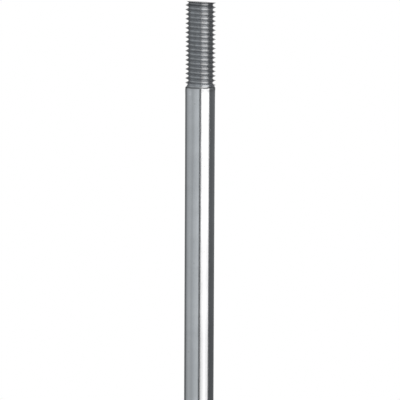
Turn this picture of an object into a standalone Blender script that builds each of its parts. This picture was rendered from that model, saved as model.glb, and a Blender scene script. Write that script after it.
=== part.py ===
"""Drill paint mixer: a threaded round rod with a welded cage of hoops, arms and spiral blades.

The rod stands along +Z. The origin is at the centre of the lower hoop's bottom edge, which the mixer
stands on. All lengths are in metres.
"""

import math

import bmesh
import bpy
from mathutils import Matrix, Vector

MM = 0.001

# Driving dimensions
TOTAL_HEIGHT = 400 * MM
ROD_RADIUS = 4.92 * MM
ROD_FOOT = 1.0 * MM
END_CHAMFER = 0.1 * MM

THREAD_PITCH = 1.5 * MM
THREAD_HAND = -1  # left-hand: the groove falls to the right on the side that faces the viewer
ROOT_RADIUS = 3.99 * MM
ROOT_FLAT = 0.29 * MM
GROOVE_HALF_WIDTH = 0.477 * THREAD_PITCH  # of its cutter, which stops short of the next turn
FLANK_ANGLE = math.radians(30)
FIRST_CREST_DEPTH = 0.25 * MM
SHOULDER_START = 26.56 * MM
SHOULDER_END = 28.17 * MM

HOOP_RADIUS = 40 * MM
HOOP_THICKNESS = 3 * MM
HOOP_WIDTH = 12 * MM
HEAD_HEIGHT = 112 * MM

ARM_RADIUS = 3 * MM
ARM_SLOPE = math.radians(22)
ARM_COUNT = 3

BLADE_THICKNESS = 2.5 * MM
BLADE_INNER_RADIUS = 20 * MM
BLADE_SWEEP = math.radians(-120)
BLADE_END_INSET = 3 * MM

BEAD_RADIUS = 1.3 * MM
BEAD_LOW_INSET = 2 * MM  # from the cage's own end
BEAD_HIGH_INSET = 1 * MM  # from the hoop's inner edge
BEAD_END_TAPER = 0.8
WELD_LEG = 1.7 * MM
LOWER_COLLAR_START = 3.3 * MM  # from the rod's axis, before the collars are trimmed
UPPER_COLLAR_START = 4.4 * MM
HOOP_COLLAR_TAPER = 2.2 * MM
GAP = 0.3 * MM

ROD_STEPS = 32
THREAD_STEPS = 24
HOOP_STEPS = 72
BLADE_STEPS = 20
ARM_STEPS = 16
ROOM_STEPS = 96
BEAD_POINTS = 7
SHARP_ANGLE = math.radians(40)

# Worked out from them
HOOP_BORE = HOOP_RADIUS - HOOP_THICKNESS
UPPER_HOOP_FOOT = HEAD_HEIGHT - HOOP_WIDTH
BLADE_OUTER_RADIUS = HOOP_BORE - GAP
BLADE_HEIGHT = HEAD_HEIGHT - 2 * BLADE_END_INSET
ARM_ANGLES = [math.tau * i / ARM_COUNT for i in range(ARM_COUNT)]
BLADE_ANGLES = [angle + math.pi / ARM_COUNT for angle in ARM_ANGLES]
CONE_SLOPE = (ROD_RADIUS - ROOT_RADIUS) / (SHOULDER_END - SHOULDER_START)
COLLAR_BORE = ARM_RADIUS + GAP
COLLAR_RADIUS = COLLAR_BORE + WELD_LEG


def clear_scene():
    for obj in list(bpy.data.objects):
        bpy.data.objects.remove(obj, do_unlink=True)


def new_collection(name):
    made = bpy.data.collections.new(name)
    bpy.context.scene.collection.children.link(made)
    return made


def metal(name, colour, roughness):
    made = bpy.data.materials.new(name)
    made.use_nodes = True
    shader = made.node_tree.nodes["Principled BSDF"]
    shader.inputs["Base Color"].default_value = (*colour, 1.0)
    shader.inputs["Metallic"].default_value = 1.0
    shader.inputs["Roughness"].default_value = roughness
    made.diffuse_color = (*colour, 1.0)
    return made


def add_object(name, data, collection, material=None):
    made = bpy.data.objects.new(name, data)
    collection.objects.link(made)
    if material:
        made.data.materials.append(material)
    return made


def as_cutter(obj):
    obj.hide_render = True
    obj.display_type = "WIRE"
    return obj


def shade_round(mesh):
    mesh.shade_smooth()
    mesh.set_sharp_from_angle(angle=SHARP_ANGLE)


def profile_mesh(name, points, closed):
    """A line of edges through (radius, height) points in the XZ plane."""
    made = bpy.data.meshes.new(name)
    count = len(points)
    edges = [(i, i + 1) for i in range(count - 1)]
    if closed:
        edges.append((count - 1, 0))
    made.from_pydata([(radius, 0, height) for radius, height in points], edges, [])
    return made


def add_screw(obj, steps, angle=math.tau, rise=0.0):
    screw = obj.modifiers.new("turn", "SCREW")
    screw.axis = "Z"
    screw.angle = angle
    screw.screw_offset = rise
    screw.steps = steps
    screw.render_steps = steps
    screw.use_merge_vertices = rise == 0
    screw.merge_threshold = 0.00001
    screw.use_smooth_shade = True
    return screw


def turned(name, points, steps, collection, material=None, closed=False):
    """A turned solid. Its (radius, height) points run down the outer side, top to bottom."""
    made = add_object(name, profile_mesh(name, points, closed), collection, material)
    add_screw(made, steps)
    return made


def add_boolean(obj, operation, other):
    cut = obj.modifiers.new(operation.lower(), "BOOLEAN")
    cut.operation = operation
    cut.object = other
    return cut


def shoulder_cone():
    """The cone that the thread groove climbs out along, from its root to past the rod's surface."""
    above = 2 * MM
    outer = ROD_RADIUS + GAP
    tip = TOTAL_HEIGHT - SHOULDER_START + above
    rim = TOTAL_HEIGHT - SHOULDER_START - (outer - ROOT_RADIUS) / CONE_SLOPE
    base = rim - 2 * THREAD_PITCH
    points = [(0, tip), (ROOT_RADIUS - above * CONE_SLOPE, tip), (outer, rim), (outer, base), (0, base)]
    return as_cutter(turned("shoulder_cone", points, ROD_STEPS, cutters))


def thread_groove():
    """The helical V groove: its section, carried round the rod by the spin tool, one step at a time."""
    outer = ROOT_RADIUS + (GROOVE_HALF_WIDTH - ROOT_FLAT / 2) / math.tan(FLANK_ANGLE)
    turns = math.ceil(SHOULDER_END / THREAD_PITCH) + 1
    first_groove = TOTAL_HEIGHT - FIRST_CREST_DEPTH + THREAD_PITCH / 2
    start = first_groove + THREAD_PITCH - turns * THREAD_PITCH
    section = [
        (outer, GROOVE_HALF_WIDTH),
        (ROOT_RADIUS, ROOT_FLAT / 2),
        (ROOT_RADIUS, -ROOT_FLAT / 2),
        (outer, -GROOVE_HALF_WIDTH),
    ]
    bm = bmesh.new()
    corners = [bm.verts.new((radius, 0, start + height)) for radius, height in section]
    face = bm.faces.new(corners)
    bmesh.ops.spin(
        bm,
        geom=[*corners, *face.edges, face],
        cent=(0, 0, 0),
        axis=(0, 0, 1),
        dvec=(0, 0, THREAD_PITCH / THREAD_STEPS),
        angle=math.tau * turns * THREAD_HAND,
        steps=THREAD_STEPS * turns,
    )
    bmesh.ops.recalc_face_normals(bm, faces=bm.faces)
    mesh = bpy.data.meshes.new("thread_groove")
    bm.to_mesh(mesh)
    bm.free()
    groove = as_cutter(add_object("thread_groove", mesh, cutters))
    add_boolean(groove, "DIFFERENCE", shoulder_cone())
    return groove


def make_shaft():
    blank = [
        (0, TOTAL_HEIGHT),
        (ROD_RADIUS - END_CHAMFER, TOTAL_HEIGHT),
        (ROD_RADIUS, TOTAL_HEIGHT - END_CHAMFER),
        (ROD_RADIUS, ROD_FOOT + END_CHAMFER),
        (ROD_RADIUS - END_CHAMFER, ROD_FOOT),
        (0, ROD_FOOT),
    ]
    shaft = turned("shaft", blank, ROD_STEPS, parts, plated_rod)
    add_boolean(shaft, "DIFFERENCE", thread_groove())


def make_hoop(name, foot):
    corners = [
        (HOOP_RADIUS, foot + HOOP_WIDTH),
        (HOOP_RADIUS, foot),
        (HOOP_BORE, foot),
        (HOOP_BORE, foot + HOOP_WIDTH),
    ]
    turned(name, corners, HOOP_STEPS, parts, plated_strip, closed=True)


def weld_room():
    """The ring-shaped room between the rod and the hoops, which every arm and collar is trimmed to."""
    top = TOTAL_HEIGHT / 2
    inner = ROD_RADIUS + GAP
    outer = HOOP_BORE - GAP
    corners = [(outer, top), (outer, -top), (inner, -top), (inner, top)]
    return as_cutter(turned("weld_room", corners, ROOM_STEPS, cutters, closed=True))


def arm_matrix(angle, height, slope):
    """A frame whose Z axis runs out along an arm, from the rod's axis at that height."""
    outward = Vector((math.cos(angle), math.sin(angle), -math.tan(slope))).normalized()
    turn = outward.to_track_quat("Z", "Y").to_matrix().to_4x4()
    return Matrix.Translation((0, 0, height)) @ turn


def make_arm(name, matrix, room):
    """A round bar from the rod's axis to past the hoop, trimmed to the room between them."""
    reach = (HOOP_BORE + ROD_RADIUS) / math.cos(ARM_SLOPE)
    mesh = bpy.data.meshes.new(name)
    bm = bmesh.new()
    bmesh.ops.create_cone(
        bm,
        cap_ends=True,
        segments=ARM_STEPS,
        radius1=ARM_RADIUS,
        radius2=ARM_RADIUS,
        depth=reach,
        matrix=Matrix.Translation((0, 0, reach / 2)),
    )
    bm.to_mesh(mesh)
    bm.free()
    arm = add_object(name, mesh, parts, plated_rod)
    arm.matrix_world = matrix
    add_boolean(arm, "INTERSECT", room)


def make_collar(name, matrix, room, section):
    """A weld collar round an arm. Its (radius, distance from the rod's axis) points are trimmed to the room."""
    collar = turned(name, section, ARM_STEPS, parts, weld_metal, closed=True)
    collar.matrix_world = matrix
    add_boolean(collar, "INTERSECT", room)


def rod_collar_section(start, shoulder, tip):
    return [(COLLAR_BORE, tip), (COLLAR_RADIUS, shoulder), (COLLAR_RADIUS, start), (COLLAR_BORE, start)]


def hoop_collar_section(tip, shoulder, end):
    return [(COLLAR_BORE, end), (COLLAR_RADIUS, end), (COLLAR_RADIUS, shoulder), (COLLAR_BORE, tip)]


def make_arms(level, height, slope, room, rod_section, hoop_section):
    for number, angle in enumerate(ARM_ANGLES, 1):
        matrix = arm_matrix(angle, height, slope)
        make_arm(f"{level}_arm_{number}", matrix, room)
        make_collar(f"weld_{level}_arm_to_shaft_{number}", matrix, room, rod_section)
        make_collar(f"weld_{level}_arm_to_hoop_{number}", matrix, room, hoop_section)


def make_blade(number, angle):
    """A flat strip set on edge round the rod: a radial line screwed upwards, then thickened."""
    line = [(BLADE_OUTER_RADIUS, BLADE_END_INSET), (BLADE_INNER_RADIUS, BLADE_END_INSET)]
    name = f"spiral_blade_{number}"
    blade = add_object(name, profile_mesh(name, line, False), parts, plated_strip)
    blade.rotation_euler.z = angle
    add_screw(blade, BLADE_STEPS, BLADE_SWEEP, BLADE_HEIGHT)
    solidify = blade.modifiers.new("thickness", "SOLIDIFY")
    solidify.thickness = BLADE_THICKNESS
    solidify.offset = 0
    solidify.use_even_offset = True


def make_blade_bead(name, angle, low, high, side):
    """A weld bead along a blade's edge, on its upper (side 1) or under (side -1) face, on the hoop's wall."""
    radius = HOOP_BORE - GAP - BEAD_RADIUS
    steepness = math.atan2(BLADE_HEIGHT, radius * abs(BLADE_SWEEP))
    lift = side * (BLADE_THICKNESS / 2 + GAP + BEAD_RADIUS) / math.cos(steepness)
    data = bpy.data.curves.new(name, "CURVE")
    data.dimensions = "3D"
    data.bevel_depth = BEAD_RADIUS
    data.bevel_resolution = 2
    data.use_fill_caps = True
    spline = data.splines.new("POLY")
    spline.points.add(BEAD_POINTS - 1)
    for i, point in enumerate(spline.points):
        height = low + (high - low) * i / (BEAD_POINTS - 1)
        turn = angle + BLADE_SWEEP * (height - lift - BLADE_END_INSET) / BLADE_HEIGHT
        point.co = (radius * math.cos(turn), radius * math.sin(turn), height, 1)
        point.radius = BEAD_END_TAPER if i in (0, BEAD_POINTS - 1) else 1.0
    add_object(name, data, parts, weld_metal)


def make_lower_arms(room):
    wall = ROD_RADIUS + GAP
    rod_section = rod_collar_section(LOWER_COLLAR_START, wall, wall + WELD_LEG)
    hoop_section = hoop_collar_section(
        HOOP_BORE - GAP - 2 * WELD_LEG,
        HOOP_BORE - 2 * GAP - WELD_LEG / 2,
        HOOP_BORE,
    )
    make_arms("lower", HOOP_WIDTH / 2, 0, room, rod_section, hoop_section)


def make_upper_arms(room):
    """Arms that slope down from the rod to the middle of the upper hoop's wall."""
    height = UPPER_HOOP_FOOT + HOOP_WIDTH / 2 + HOOP_BORE * math.tan(ARM_SLOPE)
    wall = (ROD_RADIUS + GAP) / math.cos(ARM_SLOPE)
    bore = HOOP_BORE / math.cos(ARM_SLOPE)
    lean = COLLAR_RADIUS * math.tan(ARM_SLOPE)
    rod_section = rod_collar_section(UPPER_COLLAR_START, wall + lean / 2, wall + lean + WELD_LEG)
    hoop_section = hoop_collar_section(bore - lean - HOOP_COLLAR_TAPER, bore - lean, bore + 2 * lean)
    make_arms("upper", height, ARM_SLOPE, room, rod_section, hoop_section)


def make_blades():
    for number, angle in enumerate(BLADE_ANGLES, 1):
        make_blade(number, angle)
        make_blade_bead(
            f"weld_lower_blade_to_hoop_{number}",
            angle,
            BEAD_LOW_INSET,
            HOOP_WIDTH - BEAD_HIGH_INSET,
            -1,
        )
        make_blade_bead(
            f"weld_upper_blade_to_hoop_{number}",
            angle,
            UPPER_HOOP_FOOT + BEAD_HIGH_INSET,
            HEAD_HEIGHT - BEAD_LOW_INSET,
            1,
        )


def make_head():
    make_hoop("lower_hoop", 0)
    make_hoop("upper_hoop", UPPER_HOOP_FOOT)
    room = weld_room()
    make_lower_arms(room)
    make_upper_arms(room)
    make_blades()


clear_scene()
parts = new_collection("drill_paint_mixer")
cutters = new_collection("cutters")
plated_rod = metal("plated_rod", (0.72, 0.74, 0.76), 0.18)
plated_strip = metal("plated_strip", (0.68, 0.70, 0.72), 0.28)
weld_metal = metal("weld_metal", (0.52, 0.53, 0.54), 0.42)
make_shaft()
make_head()
bpy.context.view_layer.update()
for obj in parts.objects:
    if obj.type == "MESH":
        shade_round(obj.data)
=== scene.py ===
"""The looks of the drill paint mixer: its plated rod with a cut thread, and its welded mixing cage.

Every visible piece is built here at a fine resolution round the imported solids, in the same frame, in metres.
"""

import math

import bmesh
import bpy
import numpy as np
from mathutils import Matrix, Vector


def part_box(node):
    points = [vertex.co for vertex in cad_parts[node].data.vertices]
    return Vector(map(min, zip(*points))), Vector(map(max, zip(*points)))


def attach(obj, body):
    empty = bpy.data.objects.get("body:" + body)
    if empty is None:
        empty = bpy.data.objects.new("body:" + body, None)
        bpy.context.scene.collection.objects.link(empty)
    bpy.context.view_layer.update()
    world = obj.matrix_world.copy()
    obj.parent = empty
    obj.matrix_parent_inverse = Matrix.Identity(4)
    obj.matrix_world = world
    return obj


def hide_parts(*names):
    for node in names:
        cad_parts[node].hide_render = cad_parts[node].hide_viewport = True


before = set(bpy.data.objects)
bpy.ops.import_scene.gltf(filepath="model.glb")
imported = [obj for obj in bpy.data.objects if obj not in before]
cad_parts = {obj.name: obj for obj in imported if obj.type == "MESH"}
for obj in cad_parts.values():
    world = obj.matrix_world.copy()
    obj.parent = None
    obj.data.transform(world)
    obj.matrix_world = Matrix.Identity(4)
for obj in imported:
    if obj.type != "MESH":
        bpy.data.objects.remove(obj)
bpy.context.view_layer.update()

MM = 0.001

# Sizes that the frame gives
ROD_LOW, ROD_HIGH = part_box("shaft")
HOOP_LOW, HOOP_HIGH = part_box("lower_hoop")
UPPER_LOW, UPPER_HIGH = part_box("upper_hoop")
TOP = ROD_HIGH.z
FOOT = ROD_LOW.z
ROD_RADIUS = ROD_HIGH.x
HOOP_RADIUS = HOOP_HIGH.x
HOOP_WIDTH = HOOP_HIGH.z - HOOP_LOW.z
HEAD_HEIGHT = UPPER_HIGH.z
ARM_RADIUS = (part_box("lower_arm_1")[1].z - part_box("lower_arm_1")[0].z) / 2
LOWER_ARM_HEIGHT = HOOP_WIDTH / 2

# Sizes of the design
PITCH = 1.5 * MM
THREAD_HAND = -1
ROOT_RADIUS = 3.99 * MM
ROOT_ROUND = 0.3 * MM
CREST_RADIUS = ROD_RADIUS + 0.09 * MM
THREAD_SHIFT = 0.13 * MM
FIRST_CREST = 0.25 * MM
FLANK_ANGLE = math.radians(61.5)
SHOULDER_START = 26.56 * MM
SHOULDER_END = 28.17 * MM
SHOULDER_LINE = 0.4 * MM
SHOULDER_LINE_DEPTH = 0.05 * MM
SWELL = 0.09 * MM
SWELL_LENGTH = 1.5 * MM
END_TILT = math.radians(3.1)
END_RISE = 0.045 * MM
THREAD_COLUMNS = 96
SHARP_THREAD_ANGLE = math.radians(38)
FLAT_END_MATCH = 0.999
FOOT_CHAMFER = 0.4 * MM
HOOP_BORE = 37 * MM
ARM_SLOPE = math.radians(22)
ARM_COUNT = 3
BLADE_THICKNESS = 2.5 * MM
BLADE_INNER = 20 * MM
BLADE_SWEEP = math.radians(-120)
BLADE_INSET = 3 * MM

# Worked out from them
UPPER_ARM_HEIGHT = UPPER_LOW.z + HOOP_WIDTH / 2 + HOOP_BORE * math.tan(ARM_SLOPE)
BLADE_HEIGHT = HEAD_HEIGHT - 2 * BLADE_INSET
ARM_ANGLES = [math.tau * i / ARM_COUNT for i in range(ARM_COUNT)]
BLADE_ANGLES = [angle + math.pi / ARM_COUNT for angle in ARM_ANGLES]
rod_start = TOP - SHOULDER_END - 2 * PITCH
end_place = Vector((0, 0, TOP + END_RISE))
end_normal = Vector((math.sin(END_TILT), 0, math.cos(END_TILT)))


# Mesh helpers


def smooth_step(value):
    value = np.clip(value, 0, 1)
    return value * value * (3 - 2 * value)


def grid_faces(rows, columns, wrap=False):
    """Quads of a grid whose points run row by row. With wrap, the last column joins the first."""
    made = []
    for row in range(rows - 1):
        for column in range(columns if wrap else columns - 1):
            right = (column + 1) % columns
            here = row * columns
            made.append((here + column, here + right, here + columns + right, here + columns + column))
    return made


def add_piece(name, mesh, materials, stands_for=(), matrix=None):
    """A piece of the mixer that rides on its one body."""
    for material in materials:
        mesh.materials.append(material)
    made = bpy.data.objects.new(name, mesh)
    bpy.context.scene.collection.objects.link(made)
    if matrix is not None:
        made.matrix_world = matrix
    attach(made, "root")
    if stands_for:
        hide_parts(*stands_for)
    return made


def mesh_of(name, points, faces, sharp=math.radians(50)):
    """A smooth mesh with its faces turned outwards and its steep edges kept sharp."""
    mesh = bpy.data.meshes.new(name)
    mesh.from_pydata([tuple(point) for point in points], [], faces)
    bm = bmesh.new()
    bm.from_mesh(mesh)
    bmesh.ops.recalc_face_normals(bm, faces=bm.faces)
    bm.to_mesh(mesh)
    bm.free()
    mesh.shade_smooth()
    mesh.set_sharp_from_angle(angle=sharp)
    return mesh


def rounded_outline(width, height, radius, steps=4):
    """Corner-rounded rectangle round (0, 0), as (across, up) points, anticlockwise."""
    made = []
    corners = [(1, 1, 0), (-1, 1, 90), (-1, -1, 180), (1, -1, 270)]
    for across, up, start in corners:
        middle = (across * (width / 2 - radius), up * (height / 2 - radius))
        for i in range(steps + 1):
            turn = math.radians(start + 90 * i / steps)
            made.append((middle[0] + radius * math.cos(turn), middle[1] + radius * math.sin(turn)))
    return made


# The rod and its thread


def thread_radius(along):
    """Radius of the thread at a distance above a crest: flat crest, straight flanks, rounded root."""
    off_crest = abs((along + PITCH / 2) % PITCH - PITCH / 2)
    off_root = PITCH / 2 - off_crest
    tangent = ROOT_ROUND * math.sin(FLANK_ANGLE)
    if off_root < tangent:
        return ROOT_RADIUS + ROOT_ROUND - math.sqrt(ROOT_ROUND**2 - off_root**2)
    flank_start = ROOT_RADIUS + ROOT_ROUND * (1 - math.cos(FLANK_ANGLE))
    return min(flank_start + (off_root - tangent) * math.tan(FLANK_ANGLE), CREST_RADIUS)


def shoulder_radius(depth):
    """The cone at the thread's lower end, then the plain rod, with a fine tool line at the cone's foot."""
    if depth > SHOULDER_END:
        from_line = abs(depth - SHOULDER_END - SHOULDER_LINE / 2) / (SHOULDER_LINE / 2)
        swell = SWELL * math.exp((SHOULDER_END - depth) / SWELL_LENGTH)
        return ROD_RADIUS + swell - SHOULDER_LINE_DEPTH * max(0.0, 1 - from_line)
    climb = (depth - SHOULDER_START) / (SHOULDER_END - SHOULDER_START)
    return ROOT_RADIUS + (ROD_RADIUS - ROOT_RADIUS) * climb


def thread_shift(depth):
    """How far the thread's axis stands off the rod's, towards +X: the die ran aside as it went down."""
    run = THREAD_SHIFT * (0.5 + 0.5 * min(depth / SHOULDER_START, 1.0))
    return run * (1 - smooth_step((depth - SHOULDER_START) / (2 * PITCH)))


def thread_rows():
    """Distances above a crest, over one pitch, closer together where the section turns."""
    half = [0, 0.03, 0.07, 0.13, 0.24, 0.35, 0.44, 0.49, 0.54, 0.59, 0.64, 0.695]
    up = [value * MM for value in half]
    return up + [PITCH / 2] + [PITCH - value for value in reversed(up[1:])]


def helix_rise(angle):
    """How far a crest has risen at an angle, from where it crosses the XZ plane at +X."""
    return THREAD_HAND * (angle % math.tau) / math.tau * PITCH


def sheared_grid(columns, lowest, turns):
    """A cylinder whose rows follow the thread, so that each row keeps its place on the thread's section."""
    rows = thread_rows()
    bm = bmesh.new()
    verts = []
    for turn in range(turns):
        for row in rows:
            for column in range(columns):
                share = column / columns
                angle = THREAD_HAND * math.tau * share
                height = lowest + turn * PITCH + row + PITCH * share
                verts.append(bm.verts.new((math.cos(angle), math.sin(angle), height)))
    for row in range((turns - 1) * len(rows) - 1):
        for column in range(columns):
            here = row * columns + column
            last = column == columns - 1
            right = (row + len(rows)) * columns if last else here + 1
            bm.faces.new([verts[i] for i in (here, right, right + columns, here + columns)])
    bmesh.ops.delete(bm, geom=[v for v in bm.verts if not v.link_faces], context="VERTS")
    return bm


def cut_level(bm, place, normal=(0, 0, -1), clear=False):
    bmesh.ops.bisect_plane(
        bm,
        geom=[*bm.verts, *bm.edges, *bm.faces],
        dist=1e-8,
        plane_co=place,
        plane_no=normal,
        clear_outer=clear,
    )


def threaded_rod():
    """The rod in one skin: the sheared grid, pressed to the thread's section and trimmed at both ends."""
    turns = math.ceil(SHOULDER_END / PITCH) + 6
    first_crest = TOP - FIRST_CREST
    lowest = first_crest + 3 * PITCH - turns * PITCH
    bm = sheared_grid(THREAD_COLUMNS, lowest, turns)
    line_top = TOP - SHOULDER_END
    for height in (line_top, line_top - SHOULDER_LINE / 2, line_top - SHOULDER_LINE):
        cut_level(bm, (0, 0, height))
    cut_level(bm, (0, 0, rod_start), clear=True)
    for vert in bm.verts:
        angle = math.atan2(vert.co.y, vert.co.x)
        along = vert.co.z - first_crest - helix_rise(angle)
        depth = TOP - vert.co.z
        radius = shoulder_radius(depth)
        if depth < SHOULDER_END:
            radius = max(thread_radius(along), min(radius, ROD_RADIUS))
        vert.co.x = radius * math.cos(angle) + thread_shift(depth)
        vert.co.y = radius * math.sin(angle)
    cut_level(bm, end_place, end_normal, clear=True)
    cap_top(bm)
    grow_rod(bm)
    bmesh.ops.recalc_face_normals(bm, faces=bm.faces)
    mesh = bpy.data.meshes.new("threaded_rod")
    bm.to_mesh(mesh)
    bm.free()
    mark_thread_faces(mesh)
    mesh.shade_smooth()
    mesh.set_sharp_from_angle(angle=SHARP_THREAD_ANGLE)
    add_piece("threaded_rod", mesh, [rod_finish, thread_finish, cut_end_finish], ["shaft"])


def boundary_at(bm, test):
    return [e for e in bm.edges if e.is_boundary and all(test(v.co) for v in e.verts)]


def cap_top(bm):
    """The sawn end face: rings that close in on its middle."""
    edges = boundary_at(bm, lambda co: co.z > TOP - 2 * MM)
    for share in (0.8, 0.5, 0.2):
        made = bmesh.ops.extrude_edge_only(bm, edges=edges)["geom"]
        for vert in [item for item in made if isinstance(item, bmesh.types.BMVert)]:
            flat = Vector((vert.co.x, vert.co.y, 0)).normalized() * ROOT_RADIUS * share
            drop = flat.dot(end_normal) / end_normal.z
            vert.co = (flat.x, flat.y, end_place.z - drop)
        edges = [item for item in made if isinstance(item, bmesh.types.BMEdge)]
    bmesh.ops.edgeloop_fill(bm, edges=edges)


def grow_rod(bm):
    """The plain rod below the shoulder, down to its chamfered foot."""
    edges = boundary_at(bm, lambda co: co.z < TOP - SHOULDER_END)
    lengths = 24
    reach = FOOT + FOOT_CHAMFER - rod_start
    stations = [(ROD_RADIUS, rod_start + reach * (i + 1) / lengths) for i in range(lengths)]
    stations += [(ROD_RADIUS - FOOT_CHAMFER, FOOT), (ROD_RADIUS / 2, FOOT)]
    for radius, height in stations:
        made = bmesh.ops.extrude_edge_only(bm, edges=edges)["geom"]
        for vert in [item for item in made if isinstance(item, bmesh.types.BMVert)]:
            flat = Vector((vert.co.x, vert.co.y, 0)).normalized() * radius
            vert.co = (flat.x, flat.y, height)
        edges = [item for item in made if isinstance(item, bmesh.types.BMEdge)]
    bmesh.ops.edgeloop_fill(bm, edges=edges)


def mark_thread_faces(mesh):
    for polygon in mesh.polygons:
        centre = polygon.center
        if abs(polygon.normal.dot(end_normal)) > FLAT_END_MATCH:
            polygon.material_index = 2
        elif centre.z > TOP - SHOULDER_END:
            polygon.material_index = 1


# The cage


def make_hoop(name, node, low, seam_angle):
    """A flat strip rolled into a ring, with rounded edges."""
    steps = 144
    thickness = HOOP_RADIUS - HOOP_BORE
    middle = (HOOP_RADIUS + HOOP_BORE) / 2
    outline = rounded_outline(thickness, HOOP_WIDTH, 0.55 * MM)
    points = []
    for i in range(steps):
        angle = math.tau * i / steps
        for across, up in outline:
            radius = middle + across
            height = low + HOOP_WIDTH / 2 + up
            points.append((radius * math.cos(angle), radius * math.sin(angle), height))
    count = len(outline)
    faces = []
    for i in range(steps):
        ahead = (i + 1) % steps
        for j in range(count):
            over = (j + 1) % count
            faces.append((i * count + j, i * count + over, ahead * count + over, ahead * count + j))
    add_piece(name, mesh_of(name, points, faces), [hoop_finish], [node])
    make_seam(f"{name}_seam", low, seam_angle)


def make_seam(name, low, angle):
    """The weld that closes a hoop: a low rippled bead across the strip, inside and outside."""
    middle = (HOOP_RADIUS + HOOP_BORE) / 2
    reach = (HOOP_RADIUS - HOOP_BORE) / 2
    rows, columns = 40, 24
    points = []
    for row in range(rows + 1):
        share = row / rows
        end = smooth_step(min(share, 1 - share) * 9)
        ripple = 0.07 * MM * math.cos(math.tau * share * 11)
        for column in range(columns):
            turn = math.tau * column / columns
            swell = (0.42 * MM + ripple) * end
            out = (reach - 0.1 * MM + swell) * math.sin(turn)
            side = (1.5 * MM + ripple) * math.cos(turn) * (0.55 + 0.45 * end)
            lean = 0.35 * MM * math.sin(turn) ** 2
            height = low + 0.25 * MM + (HOOP_WIDTH - 0.5 * MM) * share + lean * end * (1 - share)
            outward = Vector((math.cos(angle), math.sin(angle), 0))
            sideways = Vector((-math.sin(angle), math.cos(angle), 0))
            place = outward * (middle + out) + sideways * side
            points.append((place.x, place.y, height))
    faces = grid_faces(rows + 1, columns, wrap=True)
    faces.append(tuple(range(columns)))
    faces.append(tuple(rows * columns + i for i in range(columns)))
    add_piece(name, mesh_of(name, points, faces, math.radians(70)), [weld_finish])


def arm_frame(angle, height, slope):
    """A frame whose Z axis runs out along an arm, from the rod's axis at that height."""
    outward = Vector((math.cos(angle), math.sin(angle), -math.tan(slope))).normalized()
    turn = outward.to_track_quat("Z", "Y").to_matrix().to_4x4()
    return Matrix.Translation((0, 0, height)) @ turn


def make_arm(name, angle, height, slope):
    """A round bar from inside the rod's weld to inside the hoop's, in its own frame."""
    steps, lengths = 48, 12
    start = (ROD_RADIUS - 0.6 * MM) / math.cos(slope)
    end = (HOOP_BORE + 0.5 * MM) / math.cos(slope)
    points = []
    for row in range(lengths + 1):
        along = start + (end - start) * row / lengths
        for column in range(steps):
            turn = math.tau * column / steps
            points.append((ARM_RADIUS * math.cos(turn), ARM_RADIUS * math.sin(turn), along))
    faces = grid_faces(lengths + 1, steps, wrap=True)
    faces.append(tuple(range(steps)))
    faces.append(tuple(lengths * steps + i for i in range(steps)))
    mesh = mesh_of(name, points, faces)
    replaced = [name.replace("_bar", "")]
    add_piece(name, mesh, [arm_finish], replaced, arm_frame(angle, height, slope))


def blade_point(angle, radius, height, lift=0.0):
    """A point on a blade's middle surface, or lifted off it along its normal."""
    turn = angle + BLADE_SWEEP * (height - BLADE_INSET) / BLADE_HEIGHT
    around = Vector((-math.sin(turn), math.cos(turn), 0))
    tangent = around * (radius * BLADE_SWEEP / BLADE_HEIGHT) + Vector((0, 0, 1))
    outward = Vector((math.cos(turn), math.sin(turn), 0))
    normal = outward.cross(tangent.normalized())
    if normal.z < 0:
        normal = -normal
    return outward * radius + Vector((0, 0, height)) + normal * lift


def make_blade(number, angle):
    """A strip set on edge and twisted round the rod, with rounded edges and rounded inner corners."""
    name = f"twisted_blade_{number}"
    rows = 96
    outer = HOOP_BORE + 0.1 * MM
    width = outer - BLADE_INNER
    outline = rounded_outline(width, BLADE_THICKNESS, 0.7 * MM)
    corner = 4 * MM
    points = []
    for row in range(rows + 1):
        share = 0.5 - 0.5 * math.cos(math.pi * row / rows)
        from_end = min(share, 1 - share) * BLADE_HEIGHT
        cut = corner - math.sqrt(max(0.0, corner**2 - max(0.0, corner - from_end) ** 2))
        squeeze = 1 - 0.35 * max(0.0, 1 - from_end / (0.5 * MM))
        height = BLADE_INSET + BLADE_HEIGHT * share
        for across, up in outline:
            radius = outer + (across - width / 2) * (width - cut) / width
            place = blade_point(angle, radius, height, up * squeeze)
            points.append(place)
    count = len(outline)
    faces = grid_faces(rows + 1, count, wrap=True)
    faces.append(tuple(range(count)))
    faces.append(tuple(rows * count + i for i in range(count)))
    mesh = mesh_of(name, points, faces)
    add_piece(name, mesh, [blade_finish], [f"spiral_blade_{number}"])


# Weld beads


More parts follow.
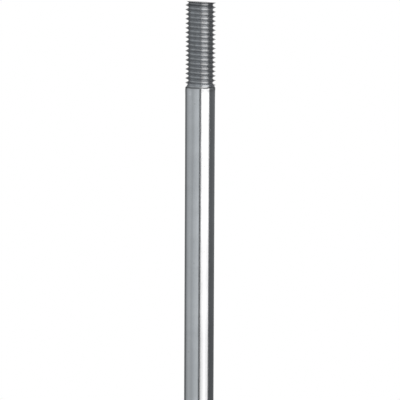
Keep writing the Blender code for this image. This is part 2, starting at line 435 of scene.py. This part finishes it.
def bead_mesh(name, path, closed, leg, ripple, seed):
    """A rippled fillet swept along a corner.

    Each place on the path is (corner, direction along one wall, direction along the other wall).
    """
    random = np.random.default_rng(seed)
    phases = random.uniform(0, math.tau, 3)
    across = 12
    rows = len(path)
    lengths = [0.0]
    for before, after in zip(path, path[1:]):
        lengths.append(lengths[-1] + (after[0] - before[0]).length)
    total = lengths[-1] + ((path[0][0] - path[-1][0]).length if closed else 0)
    ripples = max(3, round(total / ripple))
    points = []
    for (corner, first, second), length in zip(path, lengths):
        share = length / total
        wander = 1 + 0.06 * math.sin(math.tau * share * 2 + phases[0]) + 0.04 * math.sin(
            math.tau * share * 5 + phases[1]
        )
        end = 1.0
        if not closed:
            end = 0.12 + 0.88 * math.sqrt(smooth_step(min(share, 1 - share) * total / (leg * 0.9)))
        size = leg * wander * end
        bisector = (first + second).normalized()
        points.append(corner - bisector * leg * 0.35 * end)
        for i in range(across + 1):
            share_across = i / across
            bow = 4 * share_across * (1 - share_across)
            phase = math.tau * (share * ripples + 0.55 * bow) + phases[2]
            step = 0.5 + 0.5 * math.cos(phase)
            swell = 0.19 + (0.085 * step**2 - 0.03) * bow**0.5
            straight = corner + (first * (1 - share_across) + second * share_across) * size
            points.append(straight + bisector * size * swell * bow - bisector * leg * 0.02)
    columns = across + 2
    faces = grid_faces(rows, columns, wrap=True)
    if closed:
        last = (rows - 1) * columns
        for column in range(columns):
            over = (column + 1) % columns
            faces.append((last + column, last + over, over, column))
    else:
        faces.append(tuple(range(columns)))
        faces.append(tuple((rows - 1) * columns + i for i in range(columns)))
    return mesh_of(name, points, faces, math.radians(75))


def arm_corner(angle, height, slope, wall, turn):
    """Where an arm's side meets the rod (wall is its radius) or a hoop (wall is its bore)."""
    matrix = arm_frame(angle, height, slope).to_3x3()
    side, up, out = matrix.col[0], matrix.col[1], matrix.col[2]
    normal = side * math.cos(turn) + up * math.sin(turn)
    start = Vector((0, 0, height)) + normal * ARM_RADIUS
    a = out.x**2 + out.y**2
    b = start.x * out.x + start.y * out.y
    c = start.x**2 + start.y**2 - wall**2
    reach = (-b + math.sqrt(b * b - a * c)) / a
    return start + out * reach, normal, out


def arm_weld_path(angle, height, slope, wall, to_hoop):
    rows = 120
    places = [arm_corner(angle, height, slope, wall, math.tau * i / rows) for i in range(rows)]
    path = []
    for i, (corner, arm_normal, out) in enumerate(places):
        tangent = (places[(i + 1) % rows][0] - places[i - 1][0]).normalized()
        wall_normal = Vector((corner.x, corner.y, 0)).normalized()
        along_arm = tangent.cross(arm_normal).normalized()
        if along_arm.dot(out) * (-1 if to_hoop else 1) < 0:
            along_arm = -along_arm
        along_wall = tangent.cross(wall_normal).normalized()
        if along_wall.dot(arm_normal) < 0:
            along_wall = -along_wall
        path.append((corner, along_arm, along_wall))
    return path


def make_arm_welds(level, number, angle, height, slope):
    joints = {"shaft": (ROD_RADIUS, False, 1.75 * MM), "hoop": (HOOP_BORE, True, 2.0 * MM)}
    for joint, (wall, to_hoop, leg) in joints.items():
        name = f"bead_{level}_arm_to_{joint}_{number}"
        path = arm_weld_path(angle, height, slope, wall, to_hoop)
        seed = number + (10 if to_hoop else 0) + (20 if level == "upper" else 0)
        mesh = bead_mesh(name, path, True, leg, 0.95 * MM, seed)
        node = f"weld_{level}_arm_to_{joint}_{number}"
        add_piece(name, mesh, [weld_finish], [node])


def blade_weld_path(angle, low, high, side):
    """Along the corner between a blade's upper (side 1) or under (side -1) face and the hoop's wall."""
    rows = 70
    path = []
    for i in range(rows):
        height = low + (high - low) * i / (rows - 1)
        corner = blade_point(angle, HOOP_BORE, height, side * BLADE_THICKNESS / 2)
        step = blade_point(angle, HOOP_BORE, height + 0.1 * MM, side * BLADE_THICKNESS / 2)
        tangent = (step - corner).normalized()
        outward = Vector((corner.x, corner.y, 0)).normalized()
        wall_direction = tangent.cross(outward).normalized()
        if wall_direction.z * side < 0:
            wall_direction = -wall_direction
        path.append((corner, -outward, wall_direction))
    return path


def make_blade_welds(number, angle):
    ends = {
        "lower": [(-1, 5.8 * MM, 12.0 * MM), (1, 3.2 * MM, 9.0 * MM)],
        "upper": [(1, HEAD_HEIGHT - 12.0 * MM, HEAD_HEIGHT - 5.8 * MM),
                  (-1, HEAD_HEIGHT - 9.0 * MM, HEAD_HEIGHT - 3.2 * MM)],
    }
    for level, beads in ends.items():
        for order, (side, low, high) in enumerate(beads):
            name = f"bead_{level}_blade_to_hoop_{number}_{'ab'[order]}"
            path = blade_weld_path(angle, low, high, side)
            mesh = bead_mesh(name, path, False, 2.1 * MM, 1.0 * MM, 40 + number * 4 + order + ord(level[0]))
            nodes = [f"weld_{level}_blade_to_hoop_{number}"] if order == 0 else []
            add_piece(name, mesh, [weld_finish], nodes)


# Shader node helpers


def add_node(tree, kind, inputs=None, **settings):
    """A node with its settings, and its sockets set to values or linked to other sockets."""
    node = tree.nodes.new(kind)
    for key, value in settings.items():
        setattr(node, key, value)
    for key, value in (inputs or {}).items():
        if isinstance(value, bpy.types.NodeSocket):
            tree.links.new(value, node.inputs[key])
        else:
            node.inputs[key].default_value = value
    return node


def math_out(tree, operation, *values, clamp=False):
    node = add_node(tree, "ShaderNodeMath", dict(enumerate(values)), operation=operation, use_clamp=clamp)
    return node.outputs[0]


def map_out(tree, value, low, high, to_low=0.0, to_high=1.0):
    node = add_node(
        tree,
        "ShaderNodeMapRange",
        {"Value": value, "From Min": low, "From Max": high, "To Min": to_low, "To Max": to_high},
        interpolation_type="SMOOTHSTEP",
    )
    return node.outputs["Result"]


def mix_colour(tree, factor, first, second, blend="MIX"):
    node = add_node(tree, "ShaderNodeMix", {0: factor}, data_type="RGBA", blend_type=blend)
    for socket, value in ((node.inputs[6], first), (node.inputs[7], second)):
        if isinstance(value, bpy.types.NodeSocket):
            tree.links.new(value, socket)
        else:
            socket.default_value = value
    return node.outputs[2]


def new_group(name, inputs, outputs):
    """A shader node group with named sockets. Returns its tree, its inputs and its output node."""
    tree = bpy.data.node_groups.new(name, "ShaderNodeTree")
    for label, kind, value in inputs:
        socket = tree.interface.new_socket(label, in_out="INPUT", socket_type=kind)
        if value is not None:
            socket.default_value = value
    for label, kind in outputs:
        tree.interface.new_socket(label, in_out="OUTPUT", socket_type=kind)
    entry = tree.nodes.new("NodeGroupInput")
    leave = tree.nodes.new("NodeGroupOutput")
    return tree, entry.outputs, leave.inputs


def use_group(tree, group, inputs=None):
    node = tree.nodes.new("ShaderNodeGroup")
    node.node_tree = group
    for key, value in (inputs or {}).items():
        if isinstance(value, bpy.types.NodeSocket):
            tree.links.new(value, node.inputs[key])
        else:
            node.inputs[key].default_value = value
    return node.outputs


FLOAT = "NodeSocketFloat"
VECTOR = "NodeSocketVector"


def place_group():
    """Where a point is, in millimetres: straight, and rolled out round the Z axis."""
    tree, _, leave = new_group(
        "mixer_place",
        [],
        [("Straight", VECTOR), ("Rolled Out", VECTOR), ("Radius", FLOAT), ("Height", FLOAT)],
    )
    place = add_node(tree, "ShaderNodeTexCoord").outputs["Object"]
    straight = add_node(tree, "ShaderNodeVectorMath", {0: place, 3: 1000.0}, operation="SCALE").outputs[0]
    parts = add_node(tree, "ShaderNodeSeparateXYZ", {0: straight}).outputs
    radius = math_out(tree, "SQRT", math_out(tree, "ADD", math_out(tree, "MULTIPLY", parts[0], parts[0]),
                                             math_out(tree, "MULTIPLY", parts[1], parts[1])))
    around = math_out(tree, "MULTIPLY", math_out(tree, "ARCTAN2", parts[1], parts[0]), radius)
    rolled = add_node(tree, "ShaderNodeCombineXYZ", {0: around, 1: radius, 2: parts[2]}).outputs[0]
    tree.links.new(straight, leave["Straight"])
    tree.links.new(rolled, leave["Rolled Out"])
    tree.links.new(radius, leave["Radius"])
    tree.links.new(parts[2], leave["Height"])
    return tree


def grain_group():
    """Fine lines left by drawing, rolling or turning.

    Stretch is the scale along each axis, per millimetre.
    """
    tree, entry, leave = new_group(
        "metal_grain",
        [("Place", VECTOR, None), ("Stretch", VECTOR, (3.0, 3.0, 0.05)), ("Contrast", FLOAT, 1.0)],
        [("Lines", FLOAT), ("Bands", FLOAT)],
    )
    stretched = {0: entry["Place"], 1: entry["Stretch"]}
    placed = add_node(tree, "ShaderNodeVectorMath", stretched, operation="MULTIPLY")
    fine = add_node(tree, "ShaderNodeTexNoise", {"Vector": placed.outputs[0], "Scale": 4.0, "Detail": 5.0,
                                                 "Roughness": 0.65}).outputs[0]
    broad = add_node(tree, "ShaderNodeTexNoise", {"Vector": placed.outputs[0], "Scale": 0.55, "Detail": 3.0,
                                                  "Roughness": 0.5}).outputs[0]
    lines = map_out(tree, fine, 0.3, 0.7)
    tree.links.new(math_out(tree, "MULTIPLY", lines, entry["Contrast"]), leave["Lines"])
    tree.links.new(map_out(tree, broad, 0.32, 0.68), leave["Bands"])
    return tree


def cloud_group():
    """Cloudy plating: slow changes of tone, and small darker specks."""
    tree, entry, leave = new_group(
        "plating_clouds",
        [("Place", VECTOR, None), ("Cloud Scale", FLOAT, 0.12), ("Speck Scale", FLOAT, 0.6),
         ("Speck Size", FLOAT, 0.12)],
        [("Clouds", FLOAT), ("Specks", FLOAT)],
    )
    drift = {"Vector": entry["Place"], "Scale": entry["Cloud Scale"], "Detail": 6.0, "Roughness": 0.6,
             "Distortion": 0.4}
    clouds = add_node(tree, "ShaderNodeTexNoise", drift).outputs[0]
    tree.links.new(map_out(tree, clouds, 0.3, 0.72), leave["Clouds"])
    cells = add_node(tree, "ShaderNodeTexVoronoi", {"Vector": entry["Place"], "Scale": entry["Speck Scale"]})
    chance = add_node(tree, "ShaderNodeSeparateColor", {0: cells.outputs["Color"]}).outputs[0]
    size = math_out(tree, "MULTIPLY", entry["Speck Size"], map_out(tree, chance, 0.55, 1.0))
    near = math_out(tree, "SUBTRACT", size, cells.outputs["Distance"])
    tree.links.new(map_out(tree, near, 0.0, 0.05), leave["Specks"])
    return tree


def rub_group():
    """Edges rubbed bright, and inside corners, from the shape itself; the inside corners are used for painted
    shade and a duller finish.
    """
    tree, entry, leave = new_group(
        "rubbed_edges_and_hollow_shade",
        [("Place", VECTOR, None), ("Edge Start", FLOAT, 0.53), ("Hollow Start", FLOAT, 0.47)],
        [("Edges", FLOAT), ("Hollows", FLOAT)],
    )
    point = add_node(tree, "ShaderNodeNewGeometry").outputs["Pointiness"]
    chipping = {"Vector": entry["Place"], "Scale": 1.1, "Detail": 4.0}
    chips = add_node(tree, "ShaderNodeTexNoise", chipping).outputs[0]
    broken = map_out(tree, chips, 0.35, 0.65, 0.35, 1.0)
    above = math_out(tree, "SUBTRACT", point, entry["Edge Start"])
    below = math_out(tree, "SUBTRACT", entry["Hollow Start"], point)
    tree.links.new(math_out(tree, "MULTIPLY", map_out(tree, above, 0.0, 0.06), broken), leave["Edges"])
    # Hollows: the mask that the finishes use for painted shade in inside corners.
    tree.links.new(map_out(tree, below, 0.0, 0.08), leave["Hollows"])
    return tree


def scratch_group():
    """Sparse handling scratches, at two slants."""
    tree, entry, leave = new_group(
        "handling_scratches",
        [("Place", VECTOR, None), ("Scale", FLOAT, 0.16), ("Amount", FLOAT, 0.5)],
        [("Scratches", FLOAT)],
    )
    found = None
    for turn, squeeze in ((0.5, 14.0), (-0.9, 9.0)):
        slant = {"Vector": entry["Place"], "Rotation": (turn, turn * 0.6, turn),
                 "Scale": (1.0, squeeze, squeeze)}
        placed = add_node(tree, "ShaderNodeMapping", slant).outputs[0]
        wander = {"Vector": placed, "Scale": entry["Scale"], "Detail": 1.0, "Distortion": 0.5}
        streak = add_node(tree, "ShaderNodeTexNoise", wander).outputs[0]
        thin = map_out(tree, math_out(tree, "ABSOLUTE", math_out(tree, "SUBTRACT", streak, 0.5)), 0.012, 0.0)
        found = thin if found is None else math_out(tree, "MAXIMUM", found, thin)
    spread = {"Vector": entry["Place"], "Scale": 0.09, "Detail": 2.0}
    patches = add_node(tree, "ShaderNodeTexNoise", spread).outputs[0]
    where = map_out(tree, patches, 0.46, 0.6)
    shown = math_out(tree, "MULTIPLY", math_out(tree, "MULTIPLY", found, where), entry["Amount"])
    tree.links.new(shown, leave["Scratches"])
    return tree


places = place_group()
grains = grain_group()
clouds = cloud_group()
rubs = rub_group()
scratches = scratch_group()


def new_finish(name):
    made = bpy.data.materials.new(name)
    made.use_nodes = True
    tree = made.node_tree
    shader = tree.nodes["Principled BSDF"]
    shader.inputs["Metallic"].default_value = 1.0
    return made, tree, shader


def bump_into(tree, shader, height, strength, distance):
    bump = add_node(tree, "ShaderNodeBump", {"Height": height, "Strength": strength, "Distance": distance})
    tree.links.new(bump.outputs[0], shader.inputs["Normal"])


def grey(value, cool=1.0):
    return (value * (1 - 0.03 * cool), value, value * (1 + 0.03 * cool), 1.0)


def make_plated_finish(name, light, dark, smooth, rough, rolled, stretch, bump=0.25, cloud_scale=0.12):
    """Bright zinc plate over worked steel: grain lines, clouds, specks, scratches, rubbed edges, and painted
    shade darkening the hollows.
    """
    made, tree, shader = new_finish(name)
    place = use_group(tree, places)
    where = place["Rolled Out"] if rolled else place["Straight"]
    grain = use_group(tree, grains, {"Place": where, "Stretch": stretch})
    cloud = use_group(tree, clouds, {"Place": place["Straight"], "Cloud Scale": cloud_scale})
    rub = use_group(tree, rubs, {"Place": place["Straight"]})
    scratch = use_group(tree, scratches, {"Place": place["Straight"]})
    tone = mix_colour(tree, cloud["Clouds"], grey(dark), grey(light))
    banded = math_out(tree, "MULTIPLY", grain["Bands"], 0.35)
    streaked = mix_colour(tree, banded, tone, grey(dark * 0.92, 0.6))
    speck = math_out(tree, "MULTIPLY", cloud["Specks"], 0.55)
    specked = mix_colour(tree, speck, streaked, (0.33, 0.30, 0.27, 1))
    # Painted shade: the colour is darkened in the hollows.
    hollow_shaded = mix_colour(tree, math_out(tree, "MULTIPLY", rub["Hollows"], 0.5), specked, grey(dark * 0.55))
    rubbed = math_out(tree, "MULTIPLY", rub["Edges"], 0.6)
    edged = mix_colour(tree, rubbed, hollow_shaded, grey(min(1.0, light * 1.15)))
    tree.links.new(edged, shader.inputs["Base Color"])
    base = map_out(tree, cloud["Clouds"], 0.0, 1.0, rough, smooth)
    lined = math_out(tree, "ADD", base, math_out(tree, "MULTIPLY", grain["Lines"], 0.05))
    marked = math_out(tree, "ADD", lined, math_out(tree, "MULTIPLY", scratch["Scratches"], 0.22))
    dulled = math_out(tree, "ADD", marked, math_out(tree, "MULTIPLY", rub["Hollows"], 0.2), clamp=True)
    tree.links.new(dulled, shader.inputs["Roughness"])
    relief = math_out(tree, "SUBTRACT", grain["Lines"], math_out(tree, "MULTIPLY", scratch["Scratches"], 0.8))
    pitted = math_out(tree, "SUBTRACT", relief, math_out(tree, "MULTIPLY", cloud["Specks"], 1.2))
    bump_into(tree, shader, pitted, bump, 0.00002)
    return made


def make_thread_finish():
    """Cut thread: grey flanks with torn lines and oily stains, and crests darkened as painted shade.

    The cone under the thread is turned brighter; the colour is darker in an uneven band at the cone's foot,
    over the tool line, and darker towards the top end.
    """
    made, tree, shader = new_finish("cut_thread")
    place = use_group(tree, places)
    grain = use_group(tree, grains, {"Place": place["Rolled Out"], "Stretch": (0.2, 3.0, 3.0)})
    cloud = use_group(tree, clouds, {"Place": place["Straight"], "Cloud Scale": 0.5, "Speck Scale": 1.1,
                                     "Speck Size": 0.3})
    crest = map_out(tree, place["Radius"], 4.1, 4.85)
    torn_lines = math_out(tree, "MULTIPLY", math_out(tree, "SUBTRACT", grain["Lines"], 0.5), 0.35)
    # Painted shade: the crests are darkened by the radius mask, together with the torn lines; the crests'
    # roughness follows the same mask.
    torn_lines_and_crest_shade = math_out(tree, "ADD", crest, torn_lines, clamp=True)
    flank_and_shaded_crest = mix_colour(tree, torn_lines_and_crest_shade, grey(0.64), grey(0.56))
    oily = mix_colour(tree, math_out(tree, "MULTIPLY", cloud["Clouds"], 0.4), flank_and_shaded_crest, grey(0.42, 0.3))
    stained = mix_colour(tree, math_out(tree, "MULTIPLY", cloud["Specks"], 0.5), oily, (0.30, 0.28, 0.26, 1))
    cone_top = (TOP - SHOULDER_START) / MM
    cone = map_out(tree, place["Height"], cone_top + 0.1, cone_top - 0.5)
    turned = mix_colour(tree, cone, stained, grey(0.68))
    # Darker in an uneven band at the cone's foot, and darker towards the top end.
    foot = TOP / MM - SHOULDER_END / MM + 0.1
    from_foot = math_out(tree, "ABSOLUTE", math_out(tree, "SUBTRACT", place["Height"], foot))
    near_foot = map_out(tree, from_foot, 0.36, 0.1)
    uneven = map_out(tree, cloud["Clouds"], 0, 0.5, 0.35, 0.9)
    darker_at_cone_foot = math_out(tree, "MULTIPLY", near_foot, uneven)
    darker_below_end = map_out(tree, place["Height"], TOP / MM - 1.5, TOP / MM - 0.7, 0.0, 0.42)
    darkened_foot_and_end = mix_colour(tree, math_out(tree, "MAXIMUM", darker_at_cone_foot, darker_below_end), turned, grey(0.2))
    tree.links.new(darkened_foot_and_end, shader.inputs["Base Color"])
    base = map_out(tree, crest, 0.0, 1.0, 0.27, 0.2)
    tree.links.new(math_out(tree, "ADD", base, math_out(tree, "MULTIPLY", grain["Lines"], 0.06)),
                   shader.inputs["Roughness"])
    bump_into(tree, shader, grain["Lines"], 0.15, 0.00002)
    return made


def make_cut_end_finish():
    """Sawn and faced end: rings round the middle."""
    made, tree, shader = new_finish("cut_end")
    place = use_group(tree, places)
    grain = use_group(tree, grains, {"Place": place["Rolled Out"], "Stretch": (0.15, 6.0, 6.0)})
    cloud = use_group(tree, clouds, {"Place": place["Straight"], "Cloud Scale": 0.4})
    tone = mix_colour(tree, cloud["Clouds"], grey(0.46), grey(0.60))
    lined = mix_colour(tree, math_out(tree, "MULTIPLY", grain["Lines"], 0.4), tone, grey(0.36))
    tree.links.new(lined, shader.inputs["Base Color"])
    tree.links.new(map_out(tree, grain["Lines"], 0.0, 1.0, 0.26, 0.42), shader.inputs["Roughness"])
    bump_into(tree, shader, grain["Lines"], 0.6, 0.00004)
    return made


def make_weld_finish():
    """Plated weld bead: duller, with painted shade darkening it between its ripples, and fine spatter pits."""
    made, tree, shader = new_finish("weld_bead")
    place = use_group(tree, places)
    cloud = use_group(tree, clouds, {"Place": place["Straight"], "Cloud Scale": 0.7, "Speck Scale": 1.4,
                                     "Speck Size": 0.34})
    rub = use_group(tree, rubs, {"Place": place["Straight"], "Edge Start": 0.515, "Hollow Start": 0.49})
    tone = mix_colour(tree, cloud["Clouds"], grey(0.42, 0.5), grey(0.60, 0.5))
    # Painted shade: the colour is darkened in the hollows between the ripples.
    valley_shaded = mix_colour(tree, math_out(tree, "MULTIPLY", rub["Hollows"], 0.65), tone, grey(0.24, 0.2))
    ridge = mix_colour(tree, math_out(tree, "MULTIPLY", rub["Edges"], 0.5), valley_shaded, grey(0.74))
    spotted = mix_colour(tree, math_out(tree, "MULTIPLY", cloud["Specks"], 0.6), ridge, (0.26, 0.23, 0.20, 1))
    tree.links.new(spotted, shader.inputs["Base Color"])
    base = map_out(tree, cloud["Clouds"], 0.0, 1.0, 0.46, 0.3)
    tree.links.new(math_out(tree, "ADD", base, math_out(tree, "MULTIPLY", cloud["Specks"], 0.15)),
                   shader.inputs["Roughness"])
    bump_into(tree, shader, math_out(tree, "SUBTRACT", cloud["Clouds"], cloud["Specks"]), 0.5, 0.00006)
    return made


rod_finish = make_plated_finish("drawn_rod_zinc", 0.82, 0.72, 0.05, 0.1, False, (3.0, 3.0, 0.03), 0.12)
arm_finish = make_plated_finish("bar_zinc", 0.76, 0.64, 0.10, 0.2, False, (3.0, 3.0, 0.05))
hoop_finish = make_plated_finish("rolled_strip_zinc", 0.76, 0.62, 0.12, 0.24, True, (0.04, 3.0, 3.0))
blade_finish = make_plated_finish("twisted_strip_zinc", 0.76, 0.62, 0.12, 0.25, True, (1.6, 3.0, 0.06))
thread_finish = make_thread_finish()
cut_end_finish = make_cut_end_finish()
weld_finish = make_weld_finish()

threaded_rod()
make_hoop("lower_hoop_band", "lower_hoop", HOOP_LOW.z, math.radians(200))
make_hoop("upper_hoop_band", "upper_hoop", UPPER_LOW.z, math.radians(80))
for number, angle in enumerate(ARM_ANGLES, 1):
    make_arm(f"lower_arm_bar_{number}", angle, LOWER_ARM_HEIGHT, 0)
    make_arm(f"upper_arm_bar_{number}", angle, UPPER_ARM_HEIGHT, ARM_SLOPE)
    make_arm_welds("lower", number, angle, LOWER_ARM_HEIGHT, 0)
    make_arm_welds("upper", number, angle, UPPER_ARM_HEIGHT, ARM_SLOPE)
for number, angle in enumerate(BLADE_ANGLES, 1):
    make_blade(number, angle)
    make_blade_welds(number, angle)


# Floor, studio light and camera


def make_floor():
    """A round pale floor that fades out towards its rim and is clear from below."""
    reach = 0.6
    bpy.ops.mesh.primitive_circle_add(vertices=96, radius=reach, fill_type="NGON", location=(0, 0, -0.0002))
    floor = bpy.context.object
    floor.name = "floor"
    made = bpy.data.materials.new("floor_paper")
    made.use_nodes = True
    tree = made.node_tree
    shader = tree.nodes["Principled BSDF"]
    shader.inputs["Roughness"].default_value = 0.6
    mottle = add_node(tree, "ShaderNodeTexNoise", {"Scale": 40.0, "Detail": 4.0}).outputs[0]
    paper = mix_colour(tree, mottle, (0.86, 0.86, 0.86, 1), (0.9, 0.9, 0.9, 1))
    tree.links.new(paper, shader.inputs["Base Color"])
    clear = add_node(tree, "ShaderNodeBsdfTransparent")
    behind = add_node(tree, "ShaderNodeNewGeometry").outputs["Backfacing"]
    place = add_node(tree, "ShaderNodeTexCoord").outputs["Object"]
    out = add_node(tree, "ShaderNodeVectorMath", {0: place}, operation="LENGTH").outputs["Value"]
    gone = math_out(tree, "MAXIMUM", behind, map_out(tree, out, 0.3 * reach, 0.97 * reach))
    mix = add_node(tree, "ShaderNodeMixShader", {0: gone, 1: shader.outputs[0], 2: clear.outputs[0]})
    tree.links.new(mix.outputs[0], tree.nodes["Material Output"].inputs["Surface"])
    floor.data.materials.append(made)
    floor.visible_glossy = False


def panel_ring(tree, turn, panels):
    """Light round the horizon, as a value at each angle, tinted cool where it is dim.

    Angles are in degrees from the -Y side, where the camera stands, and grow towards +X.
    """
    ramp = add_node(tree, "ShaderNodeValToRGB", {0: turn})
    stops = ramp.color_ramp.elements
    for degrees, value in panels:
        where = degrees / 360 + 0.5
        if degrees in (-180, 180):
            stop = stops[0 if degrees < 0 else len(stops) - 1]
            stop.position = where
        else:
            stop = stops.new(where)
        cool = 0.02 if value < 0.7 else -0.02
        stop.color = (value * (1 - 1.5 * cool), value, value * (1 + cool), 1)
    return ramp.outputs[0]


def make_studio():
    """White to look at, and white for the light that dull surfaces get.

    To the metal it is a ring of tall soft panels with dark between them, and a soft ceiling.
    """
    world = bpy.data.worlds.new("studio")
    bpy.context.scene.world = world
    world.use_nodes = True
    tree = world.node_tree
    tree.nodes.clear()
    direction = add_node(tree, "ShaderNodeTexCoord").outputs["Generated"]
    parts = add_node(tree, "ShaderNodeSeparateXYZ", {0: direction}).outputs
    around = math_out(tree, "ARCTAN2", parts[0], math_out(tree, "MULTIPLY", parts[1], -1.0))
    turn = math_out(tree, "ADD", math_out(tree, "DIVIDE", around, math.tau), 0.5)
    height = math_out(tree, "DIVIDE", math_out(tree, "ARCSINE", parts[2]), math.pi / 2)
    level = [
        (-180, 0.8), (-171, 0.75), (-167, 0.17), (-125, 0.18), (-118, 0.37), (-85, 0.49), (-60, 0.42),
        (-38, 0.53), (-12, 0.63), (-7, 0.63), (-4, 0.11), (7.5, 0.11), (10, 1.5), (72, 1.5), (75.5, 0.2),
        (84, 0.13), (130, 0.16), (165, 0.2), (169, 0.8), (180, 0.8),
    ]
    lower = [
        (-180, 0.7), (-171, 0.65), (-167, 0.15), (-125, 0.14), (-118, 0.36), (-85, 0.49), (-60, 0.42),
        (-38, 0.53), (-12, 0.61), (-8, 0.6), (-5.5, 0.09), (6, 0.09), (9, 0.94), (24, 1.04), (38, 1.5),
        (54, 1.12), (71, 0.98), (74, 0.13), (84, 0.095), (130, 0.11), (165, 0.15), (169, 0.7), (180, 0.7),
    ]
    sunk = map_out(tree, height, -0.045, -0.12)
    walls = mix_colour(tree, sunk, panel_ring(tree, turn, level), panel_ring(tree, turn, lower))
    fading = map_out(tree, height, 0.12, 0.6, 1.0, 0.8)
    faded = mix_colour(tree, 1.0, walls, fading, "MULTIPLY")
    ceiling = map_out(tree, height, 0.66, 0.85)
    ring = mix_colour(tree, ceiling, faded, (0.6, 0.61, 0.63, 1))
    ground = map_out(tree, height, -0.16, -0.3)
    surround = mix_colour(tree, ground, ring, (0.3, 0.3, 0.31, 1))
    studio = add_node(tree, "ShaderNodeBackground", {"Color": surround, "Strength": 1.0})
    white = add_node(tree, "ShaderNodeBackground", {"Color": (1, 1, 1, 1), "Strength": 1.0})
    path = add_node(tree, "ShaderNodeLightPath").outputs
    plain = math_out(tree, "MAXIMUM", path["Is Camera Ray"], path["Is Diffuse Ray"])
    mix = add_node(tree, "ShaderNodeMixShader", {0: plain, 1: studio.outputs[0], 2: white.outputs[0]})
    leave = add_node(tree, "ShaderNodeOutputWorld")
    tree.links.new(mix.outputs[0], leave.inputs["Surface"])


def add_panel_light(name, place, target, size, energy):
    data = bpy.data.lights.new(name, "AREA")
    data.shape = "RECTANGLE"
    data.size, data.size_y = size
    data.energy = energy
    made = bpy.data.objects.new(name, data)
    bpy.context.scene.collection.objects.link(made)
    made.location = place
    made.rotation_mode = "QUATERNION"
    made.rotation_quaternion = (Vector(target) - Vector(place)).to_track_quat("-Z", "Y")
    made.visible_camera = False
    return made


def make_camera():
    """A long lens a little above the rod's drive end, rolled by the rod's slight lean."""
    distance = 0.85
    elevation = math.radians(6.15)
    lean = math.radians(0.255)
    shown_height = 132.4 * MM
    target = Vector((0.11 * MM, 0, TOP - 65.39 * MM))
    back = Vector((0, -math.cos(elevation), math.sin(elevation)))
    data = bpy.data.cameras.new("camera")
    data.sensor_width = 36
    data.lens = data.sensor_width * distance / shown_height
    data.clip_start = 0.01
    camera = bpy.data.objects.new("camera", data)
    bpy.context.scene.collection.objects.link(camera)
    camera.location = target + back * distance
    aim = (-back).to_track_quat("-Z", "Y").to_matrix().to_4x4()
    roll = Matrix.Rotation(lean, 4, "Z")
    camera.rotation_mode = "QUATERNION"
    camera.rotation_quaternion = (aim @ roll).to_quaternion()
    bpy.context.scene.camera = camera


make_floor()
make_studio()
overhead = add_panel_light("overhead", (0.5, -0.6, 1.3), (0, 0, 0.1), (0.9, 0.9), 9)
overhead.visible_glossy = False
make_camera()
bpy.context.scene.view_settings.view_transform = "Standard"
